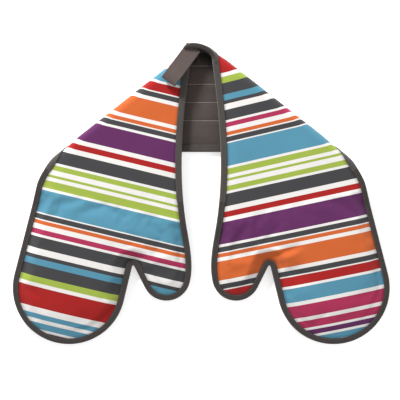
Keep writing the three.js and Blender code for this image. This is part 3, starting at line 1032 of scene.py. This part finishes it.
def sweep_tape(name, path, normals, runs, width, low_of, high_of, side, body, nodes,
               tape="binding"):
    """A tape folded round an edge of the cloth, whose heights there are low_of and high_of."""
    section = tape_section(width)
    rings, uvs = [], []
    along = np.r_[0, np.cumsum(np.linalg.norm(np.diff(path, axis=0), axis=1))]
    around = 0.0
    last_inset, last_face, last_off = section[0]
    for inset, face, off in section:
        turned = FACE_CHANGE_WEIGHT * (face - last_face)
        around += math.hypot(inset - last_inset, off - last_off + turned)
        last_inset, last_face, last_off = inset, face, off
        at = path + normals * inset
        depth = np.maximum(inset, 0)
        low = low_of(at, depth, runs)
        high = high_of(at, depth, runs)
        w = mix(low - off, high + off, face) if face in (0, 1) else mix(low, high, face)
        rings.append(place(side * at[:, 0], at[:, 1], w))
        uvs.append(np.stack([along, np.full(len(path), around)], 1) * MM)
    verts = np.stack(rings, 1).reshape(-1, 3)
    uv = np.stack(uvs, 1).reshape(-1, 2)
    faces = tube_faces(len(section), len(path))
    if side < 0:
        faces = [face[::-1] for face in faces]
    made = make_mesh(name, verts, faces, None, uv, np.ones(len(verts)), MATERIALS[tape])
    made.data.set_sharp_from_angle(angle=math.radians(50))
    return attach(made, body, "binding", *nodes)


def strip_heights(side):
    def low(at, depth, runs):
        return strip_under(side * at[:, 0], at[:, 1], depth, runs)

    def high(at, depth, runs):
        return strip_over(side * at[:, 0], at[:, 1], depth, runs)

    return low, high


def mitt_high(side):
    def high(at, depth, runs):
        single = strip_over(side * at[:, 0], at[:, 1], depth, runs)
        double = palm_over(side * at[:, 0], at[:, 1], depth, runs)
        return mix(single, double, smooth(at[:, 0], MOUTH - 5, MOUTH + 2))

    return high


def cut_edge(condition):
    """A stretch of the outline where condition, a signed value, is positive; exact ends."""
    value = condition(EDGE)
    keep = np.flatnonzero(value > 0)
    runs = np.split(keep, np.flatnonzero(np.diff(keep) > 1) + 1)
    made = []
    for stretch in runs:
        first, last = stretch[0], stretch[-1]
        weights = np.arange(first, last + 1).astype(float)
        if first > 0:
            t = value[first - 1] / (value[first - 1] - value[first])
            weights = np.r_[first - 1 + t, weights]
        if last < len(EDGE) - 1:
            t = value[last] / (value[last] - value[last + 1])
            weights = np.r_[weights, last + t]
        index = np.arange(len(EDGE))
        path = np.stack([np.interp(weights, index, EDGE[:, k]) for k in (0, 1)], 1)
        normal = np.stack([np.interp(weights, index, EDGE_INWARD[:, k]) for k in (0, 1)], 1)
        made.append((path, unit(normal), np.interp(weights, index, EDGE_RUN)))
    return made


def palm_heights(side):
    def at_height(height):
        def read(at, depth, runs):
            near, run = edge_distance(at)
            return height(side * at[:, 0], at[:, 1], near, signed_run(run, side))

        return read

    return at_height(palm_under), at_height(palm_over)


def mouth_ends():
    """Where the mouth meets the outline, at the thumb side and at the other."""
    crossing = np.flatnonzero(np.diff(np.sign(EDGE[:, 0] - MOUTH)))
    return EDGE[crossing[-1], 1], EDGE[crossing[0], 1]


HEM_REACH = HEM_BINDING + 1
INNER_EDGE_LEAST = 50


def hem_part(e):
    return np.where(e[:, 1] < 0, -ROLL_HALF - HEM_REACH * FOLD_COS
                    - across_fold(e[:, 0], e[:, 1]), -1.0)


def outer_part(e):
    return np.where(e[:, 1] < 0, np.minimum(-hem_part(e), WRIST_START - e[:, 0]), -1.0)


def inner_part(e):
    return np.where(e[:, 1] > INNER_EDGE_LEAST, WRIST_START - e[:, 0], -1.0)


def hand_part(e):
    return e[:, 0] - WRIST_START


def edge_tapes(name, side):
    """Each tape round the outline: label, path, normals, runs, width, top of the cloth, body."""
    high = strip_heights(side)[1]
    for label, part, which, width, top, body in [
            ("centre_hem", hem_part, 0, HEM_BINDING, high, CENTRE),
            ("strap_outer", outer_part, 0, STRAP_BINDING, high, on_fold(name)),
            ("strap_inner", inner_part, -1, STRAP_BINDING, high, on_fold(name)),
            ("mitt_edge", hand_part, 0, MITT_BINDING, mitt_high(side), on_wrist(name))]:
        path, normals, runs = cut_edge(part)[which]
        yield label, path, normals, signed_run(runs, side), width, top, body


def mouth_path(overlap):
    """The line across the mitt's mouth, which laps so far over the tape at each end."""
    upper, lower = mouth_ends()
    across = np.arange(upper - MITT_BINDING + overlap, lower + MITT_BINDING - overlap,
                       -OUTLINE_STEP)
    path = np.stack([np.full(len(across), PALM_START), across], 1)
    return path, np.tile([1.0, 0.0], (len(path), 1)), across


for name, side in SIDES:
    low = strip_heights(side)[0]
    for label, path, normals, runs, width, top, body in edge_tapes(name, side):
        centre = label == "centre_hem"
        sweep_tape(f"{name}_half_of_{label}_tape" if centre else f"{name}_{label}_tape",
                   path, normals, runs, width, low, top, side, body,
                   [f"{label}_binding" if centre else f"{name}_{label}_binding"],
                   "mitt_binding" if label == "mitt_edge" else "binding")
    sweep_tape(f"{name}_mitt_mouth_tape", *mouth_path(1), MOUTH_BINDING, *palm_heights(side),
               side, (f"{name}_mitt",) * 2, [f"{name}_mitt_mouth_binding"])


# ---- Stitches ----


def stitch_tree():
    """Plump stitches laid end to end along lines, each upright on the cloth."""
    tree = bpy.data.node_groups.new("stitch_rows", "GeometryNodeTree")
    for name, kind, value in [
            ("Lines", "NodeSocketGeometry", None), ("Pitch", "NodeSocketFloat", 0.003),
            ("Length", "NodeSocketFloat", 0.0024), ("Width", "NodeSocketFloat", 0.0007),
            ("Height", "NodeSocketFloat", 0.0005), ("Unevenness", "NodeSocketFloat", 0.1),
            ("Seed", "NodeSocketInt", 1), ("Material", "NodeSocketMaterial", None)]:
        made = tree.interface.new_socket(name=name, in_out="INPUT", socket_type=kind)
        if value is not None:
            made.default_value = value
    tree.interface.new_socket(name="Stitches", in_out="OUTPUT", socket_type="NodeSocketGeometry")
    n = Nodes(tree)
    given = n.add("NodeGroupInput").outputs
    curve = n.add("GeometryNodeMeshToCurve", {"Mesh": given["Lines"]}).outputs[0]
    points = n.add("GeometryNodeCurveToPoints", {"Curve": curve, "Length": given["Pitch"]},
                   mode="LENGTH").outputs
    ball = n.add("GeometryNodeMeshUVSphere", {"Segments": 6, "Rings": 4, "Radius": 0.5}).outputs[0]
    size = n.add("ShaderNodeCombineXYZ", {"X": given["Length"], "Y": given["Width"],
                                          "Z": given["Height"]}).outputs[0]
    stitch = n.add("GeometryNodeTransform", {"Geometry": ball, "Scale": size}).outputs[0]
    up = n.add("GeometryNodeInputNamedAttribute", {"Name": "up"}, data_type="FLOAT_VECTOR")
    turn = n.add("FunctionNodeAxesToRotation", {0: up.outputs[0], 1: points["Tangent"]},
                 primary_axis="Z", secondary_axis="X").outputs[0]
    most = n.math("ADD", 1.0, given["Unevenness"])
    least = n.math("SUBTRACT", 1.0, given["Unevenness"])
    scale = n.add("FunctionNodeRandomValue", {2: least, 3: most, "Seed": given["Seed"]},
                  data_type="FLOAT").outputs[1]
    laid = n.add("GeometryNodeInstanceOnPoints", {
        "Points": points["Points"], "Instance": stitch, "Rotation": turn,
        "Scale": scale}).outputs[0]
    real = n.add("GeometryNodeRealizeInstances", {0: laid}).outputs[0]
    done = n.add("GeometryNodeSetMaterial", {"Geometry": real,
                                             "Material": given["Material"]}).outputs[0]
    n.add("NodeGroupOutput", {0: done})
    return tree


STITCH_TREE = stitch_tree()


def stitch(name, rows, ups, material, body, slot="thread", nodes=(), **sizes):
    """Sews stitches along rows of points, each row standing along its ups."""
    verts = np.vstack(rows)
    edges, first = [], 0
    for row in rows:
        edges += [(first + k, first + k + 1) for k in range(len(row) - 1)]
        first += len(row)
    lines = bpy.data.meshes.new(name)
    lines.from_pydata(verts.tolist(), edges, [])
    attribute = lines.attributes.new("up", "FLOAT_VECTOR", "POINT")
    attribute.data.foreach_set("vector", np.vstack(ups).astype(np.float32).ravel())
    made = linked(lines, name)
    modifier = made.modifiers.new("stitches", "NODES")
    modifier.node_group = STITCH_TREE
    wanted = {"Seed": 7, "Material": MATERIALS[material]}
    wanted.update({key.title(): value * MM for key, value in sizes.items()})
    for socket in STITCH_TREE.interface.items_tree:
        if socket.item_type == "SOCKET" and socket.name in wanted:
            modifier[socket.identifier] = wanted[socket.name]
    shown = made.evaluated_get(bpy.context.evaluated_depsgraph_get())
    mesh = bpy.data.meshes.new_from_object(shown)
    made.modifiers.remove(modifier)
    made.data = mesh
    mesh.name = name
    mesh.polygons.foreach_set("use_smooth", np.ones(len(mesh.polygons), bool))
    return attach(made, body, slot, *nodes)


def row_with_ups(u, v, w, outward):
    """A row of points on the cloth, and the way out of the cloth at each."""
    at = place(u, v, w)
    return at, (place(u, v, w + outward) - at) / MM


def strip_row(side, u, v, lift):
    near, runs = edge_distance(np.stack([u, v], 1))
    w = strip_over(side * u, v, near, signed_run(runs, side)) + lift
    return row_with_ups(side * u, v, w, 1.0)


def slant_u(v, across):
    """Where the line that lies so far beyond the fold crosses v."""
    return FOLD_AT_EDGE + (across - (v - HALF_WIDTH) * FOLD_COS) / FOLD_SIN


TOPSTITCH_INSET = 1.3
TOPSTITCH_LIFT = 0.42
QUILTING_LIFT = 0.05


def topstitch_rows(side, path, normals, runs, width, low_of, high_of):
    """The two rows that hold a tape, one on each side of the cloth."""
    inset = width - TOPSTITCH_INSET
    at = path + normals * inset
    depth = np.full(len(at), inset)
    made = []
    for height, outward in [(low_of, -1.0), (high_of, 1.0)]:
        w = height(at, depth, runs) + outward * (TAPE + TOPSTITCH_LIFT)
        made.append(row_with_ups(side * at[:, 0], at[:, 1], w, outward))
    return zip(*made)


QUILTING = dict(pitch=3.1, length=2.7, width=0.75, height=0.55)
TOPSTITCH = dict(pitch=2.9, length=2.3, width=0.6, height=0.4)

for k, row_v in enumerate(THREAD_ROWS):
    line = np.linspace(0, slant_u(row_v, -ROLL_HALF) - 1, 60)
    right, right_up = strip_row(1, line, np.full(60, row_v), QUILTING_LIFT)
    left, left_up = strip_row(-1, line[:0:-1], np.full(59, row_v), QUILTING_LIFT)
    stitch(f"centre_quilting_row_{k + 1}", [np.vstack([left, right])],
           [np.vstack([left_up, right_up])], "quilting_thread", CENTRE,
           nodes=[f"centre_quilting_{k + 1}"], **QUILTING)
    for name, side in SIDES:
        line = np.linspace(slant_u(row_v, -ROLL_HALF) + 1, WRIST_START - 2, 90)
        row, up = strip_row(side, line, np.full(90, row_v), QUILTING_LIFT)
        stitch(f"{name}_strap_quilting_row_{k + 1}", [row], [up], "quilting_thread",
               on_fold(name), nodes=[f"{name}_strap_quilting_{k + 1}"], **QUILTING)

for name, side in SIDES:
    low = strip_heights(side)[0]
    for label, path, normals, runs, width, top, body in edge_tapes(name, side):
        rows, ups = topstitch_rows(side, path, normals, runs, width, low, top)
        stitch(f"{name}_{label}_topstitch", rows, ups, "binding_thread", body, **TOPSTITCH)
    rows, ups = topstitch_rows(side, *mouth_path(-1), MOUTH_BINDING, *palm_heights(side))
    stitch(f"{name}_mitt_mouth_topstitch", rows, ups, "binding_thread", (f"{name}_mitt",) * 2,
           **TOPSTITCH)


# ---- Hanging loop ----

LOOP_ROOT = np.array([-10.0, 199.0])
LOOP_TURN = math.radians(-125.8)
LOOP_ALONG = np.array([math.cos(LOOP_TURN), math.sin(LOOP_TURN)])
LOOP_ACROSS = np.array([-LOOP_ALONG[1], LOOP_ALONG[0]])
LOOP_WIDTH = 22.0
LOOP_TAPE = 1.1
TACK_HEIGHT = 22.5
BACK_FACE_SHIFT = 60


def smooth_path(points, count):
    """A smooth line through points."""
    points = np.array(points, float)
    ends = np.vstack([2 * points[0] - points[1], points, 2 * points[-1] - points[-2]])
    at = np.linspace(0, len(points) - 1 - 1e-6, count)
    k = at.astype(int)
    t = (at - k)[:, None]
    a, b, c, d = (ends[k + j] for j in range(4))
    return 0.5 * (2 * b + (c - a) * t + (2 * a - 5 * b + 4 * c - d) * t**2
                  + (3 * b - a - 3 * c + d) * t**3)


def flat_tape(name, centre, across, normal, half_width, half_thick, bow):
    """A flat tape along a line of points in millimetres, with turned-in rounded edges."""
    section = [(-1, 0), (-0.985, 0.7), (-0.93, 1.15), (-0.85, 0.95), (-0.4, 1), (0, 1), (0.4, 1),
               (0.85, 0.95), (0.93, 1.15), (0.985, 0.7), (1, 0), (0.985, -0.7), (0.93, -1.15),
               (0.85, -0.95), (0.4, -1), (0, -1), (-0.4, -1), (-0.85, -0.95), (-0.93, -1.15),
               (-0.985, -0.7)]
    along = np.r_[0, np.cumsum(np.linalg.norm(np.diff(centre, axis=0), axis=1))]
    rings, uvs = [], []
    for b, h in section:
        sag = (bow * b * b)[:, None] if np.ndim(bow) else bow * b * b
        rings.append(centre + across * (b * half_width) + normal * (h * half_thick - sag))
        across_cloth = b * half_width + (BACK_FACE_SHIFT if h < 0 else 0)
        uvs.append(np.stack([along, np.full(len(along), across_cloth)], 1))
    verts = np.stack(rings, 1).reshape(-1, 3) * MM
    uv = np.stack(uvs, 1).reshape(-1, 2) * MM
    faces = tube_faces(len(section), len(centre))
    made = make_mesh(name, verts, faces, None, uv, np.ones(len(verts)), MATERIALS["loop"])
    made.data.set_sharp_from_angle(angle=math.radians(50))
    return made


def loop_point(a, b, z):
    """A point in metres, from its place along and across the loop."""
    flat_at = LOOP_ROOT + LOOP_ALONG * a + LOOP_ACROSS * b
    return np.array([flat_at[0], flat_at[1], z]) * MM


def hanging_loop():
    profile = [(0.4, 20.4), (5, 20.3), (20, 20.8), (38, 22.4), (50, 24.2), (56.4, 25.4),
               (58.8, 28.0), (56.6, 30.8), (50, 31.0), (38, 28.4), (24, 25.2), (12, 22.6),
               (5, 21.7), (0.4, 21.8)]
    line = smooth_path(profile, 110)
    ahead = unit(np.gradient(line, axis=0))
    plan = LOOP_ROOT + line[:, :1] * LOOP_ALONG
    centre = np.c_[plan, line[:, 1]]
    normal = np.c_[LOOP_ALONG * ahead[:, 1:], -ahead[:, 0]]
    across = np.tile([*LOOP_ACROSS, 0.0], (len(line), 1))
    made = flat_tape("hanging_loop_tape", centre, across, normal, LOOP_WIDTH / 2, LOOP_TAPE / 2,
                     0.0)
    start, end = loop_point(0, 0, 20), loop_point(12, 0, 20)
    hinge = ("left_strap", "hanging_loop", tuple(start), tuple(end))
    attach(made, hinge, "loop", "hanging_loop")
    zigzag = [(1.0 + (k % 2) * 2.2, -8 + 16 * k / 24) for k in range(25)]
    row = np.array([loop_point(a, b, TACK_HEIGHT) for a, b in zigzag])
    stitch("hanging_loop_tack_stitches", [row], [np.tile([0, 0, 1.0], (25, 1))],
           "binding_thread", hinge, nodes=["hanging_loop_bar_tack"],
           pitch=0.9, length=1.2, width=0.5, height=0.4)


hanging_loop()


def top_curl():
    """The tape along the top edge, which curls up and over the root of the loop."""
    line = smooth_path([(18.6, 178, 17.8), (17.4, 184.5, 18.8), (14.0, 190.6, 20.8),
                        (7.8, 195.6, 23.4), (-0.4, 198.8, 25.2), (-9, 200.2, 25.9),
                        (-17, 199.8, 25.5), (-23.5, 197.6, 24.2)], 60)
    ahead = unit(np.gradient(line, axis=0))
    up = np.tile([0.0, 0.0, 1.0], (len(line), 1)) + np.c_[ahead[:, 1], -ahead[:, 0],
                                                          np.zeros(len(line))] * -0.55
    across = unit(np.cross(ahead, up))
    normal = np.cross(across, ahead)
    end = np.linspace(0, 1, len(line))
    across *= mix(1, 0.35, smooth(end, 0.8, 1.0))[:, None]
    made = flat_tape("top_edge_tape", line, across, normal, 3.3, 1.3, 0.9)
    made.data.materials[0] = MATERIALS["binding"]
    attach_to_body(made, "centre_pad")
    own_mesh(made)
    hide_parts("centre_top_binding")
    curled_lining(line[8:-6] - [0, 0, 1.0])


def curled_lining(top):
    """The edge of the lining, which stands up from the pad to its curled tape."""
    foot = mix(4.6, 18.6, smooth(np.abs(top[:, 0]), 6, 15))
    foot = np.minimum(foot, top[:, 2] - 0.5)
    ahead = unit(np.gradient(top[:, :2], axis=0))
    out = np.c_[ahead[:, 1], -ahead[:, 0], np.zeros(len(top))] * CLOTH
    low = np.c_[top[:, :2], foot]
    middle = (top + low) / 2 - out * 2
    rings = [low - out, middle - out, top - out, top + out, middle + out, low + out]
    verts = np.stack(rings, 1).reshape(-1, 3) * MM
    count, length = len(rings), len(top)
    faces = [(k * count + j, k * count + (j + 1) % count, (k + 1) * count + (j + 1) % count,
              (k + 1) * count + j) for k in range(length - 1) for j in range(count)]
    faces += [tuple(range(count))[::-1], tuple(range((length - 1) * count, length * count))]
    step = np.linalg.norm(np.diff(top[:, :2], axis=0), axis=1)
    along = np.r_[0, np.cumsum(step)]
    uv = np.stack([np.repeat(along, count), verts[:, 2] / MM], 1) * MM
    made = make_mesh("curled_lining_cloth", verts, faces, None, uv, np.ones(len(verts)),
                     MATERIALS["lining"])
    made.data.set_sharp_from_angle(angle=math.radians(50))
    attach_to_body(made, "centre_pad")
    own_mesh(made)


top_curl()


# ---- Floor, light and camera ----

VIEW_MIDDLE = (-1.7, -8.7)
VIEW_WIDTH = 546.6
LENS = 100
FLOOR_GLOW = 0.5
WORLD_STRENGTH = 0.52
# Each light's place, size and power
LIGHTS = {"key": ((-1.0, 1.9, 1.15), 0.55, 80), "fill": ((1.3, -0.7, 1.6), 1.6, 9)}


def add_floor():
    mesh = bpy.data.meshes.new("floor")
    mesh.from_pydata([(-3, -3, 0), (3, -3, 0), (3, 3, 0), (-3, 3, 0)], [], [(0, 1, 2, 3)])
    material = bpy.data.materials.new("pale_floor")
    material.use_nodes = True
    shader = material.node_tree.nodes["Principled BSDF"]
    shader.inputs["Base Color"].default_value = (0.93, 0.93, 0.93, 1)
    shader.inputs["Roughness"].default_value = 0.9
    shader.inputs["Specular IOR Level"].default_value = 0.1
    shader.inputs["Emission Color"].default_value = (1, 1, 1, 1)
    shader.inputs["Emission Strength"].default_value = FLOOR_GLOW
    mesh.materials.append(material)
    linked(mesh, "floor")


def add_light(name, place_at, size, power):
    lamp = bpy.data.lights.new(name, "AREA")
    lamp.shape = "DISK"
    lamp.size = size
    lamp.energy = power
    made = bpy.data.objects.new(name, lamp)
    made.location = place_at
    made.rotation_euler = (-Vector(place_at)).to_track_quat("-Z", "Y").to_euler()
    bpy.context.scene.collection.objects.link(made)


def add_camera():
    lens = bpy.data.cameras.new("camera")
    lens.lens = LENS
    distance = VIEW_WIDTH * MM * lens.lens / lens.sensor_width
    made = bpy.data.objects.new("camera", lens)
    made.location = (VIEW_MIDDLE[0] * MM, VIEW_MIDDLE[1] * MM, MID_HEIGHT * MM + distance)
    lens.clip_start, lens.clip_end = 0.05, 20
    bpy.context.scene.collection.objects.link(made)
    bpy.context.scene.camera = made


add_floor()
for name, light in LIGHTS.items():
    add_light(name, *light)
world = bpy.data.worlds.new("studio")
world.use_nodes = True
world.node_tree.nodes["Background"].inputs["Color"].default_value = (1, 1, 1, 1)
world.node_tree.nodes["Background"].inputs["Strength"].default_value = WORLD_STRENGTH
bpy.context.scene.world = world
bpy.context.scene.view_settings.view_transform = "Standard"
add_camera()
